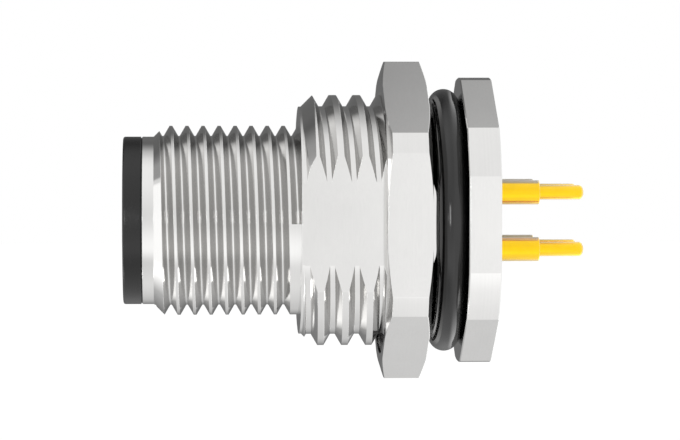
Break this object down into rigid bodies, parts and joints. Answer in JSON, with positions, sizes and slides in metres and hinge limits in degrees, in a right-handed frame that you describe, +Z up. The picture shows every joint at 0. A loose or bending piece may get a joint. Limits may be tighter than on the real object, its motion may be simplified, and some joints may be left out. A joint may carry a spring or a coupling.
{
  "type": "m12 connector",
  "caption": "Panel-mount circular connector with a threaded coupling nose, male contacts, sealing ring, hex nut and solder tails.",
  "frame": {"origin": "on the connector's axis, at the flange face that seals against the back of the panel", "axes": "+X along the axis towards the solder tails, so the mating nose points to -X; +Z up through the coding key; the locating flat faces -Y"},
  "size_m": [0.0286, 0.0178, 0.0198],
  "materials": {
    "nickel_plated_shell": "satin nickel plating over brass",
    "nickel_plated_nut": "satin nickel plating over brass",
    "carrier_plastic": "matt moulded",
    "seal_rubber": "smooth",
    "casting_resin": "cast, slightly glossy",
    "gold_plated_contact": "bright gold plating over brass"
  },
  "bodies": {
    "connector": {"shell": "nickel_plated_shell", "contact_carrier": "carrier_plastic", "carrier_ring": "seal_rubber", "sealing_compound": "casting_resin", "contact_1": "gold_plated_contact", "contact_2": "gold_plated_contact", "contact_3": "gold_plated_contact", "contact_4": "gold_plated_contact", "panel_ring": "seal_rubber"},
    "nut": {"hex_nut": "nickel_plated_nut"}
  },
  "joints": [
    {"name": "nut_travel", "type": "slide", "parent": "connector", "child": "nut", "axis": [-1, 0, 0], "range_m": [-0.00025, 0.00475]}
  ]
}
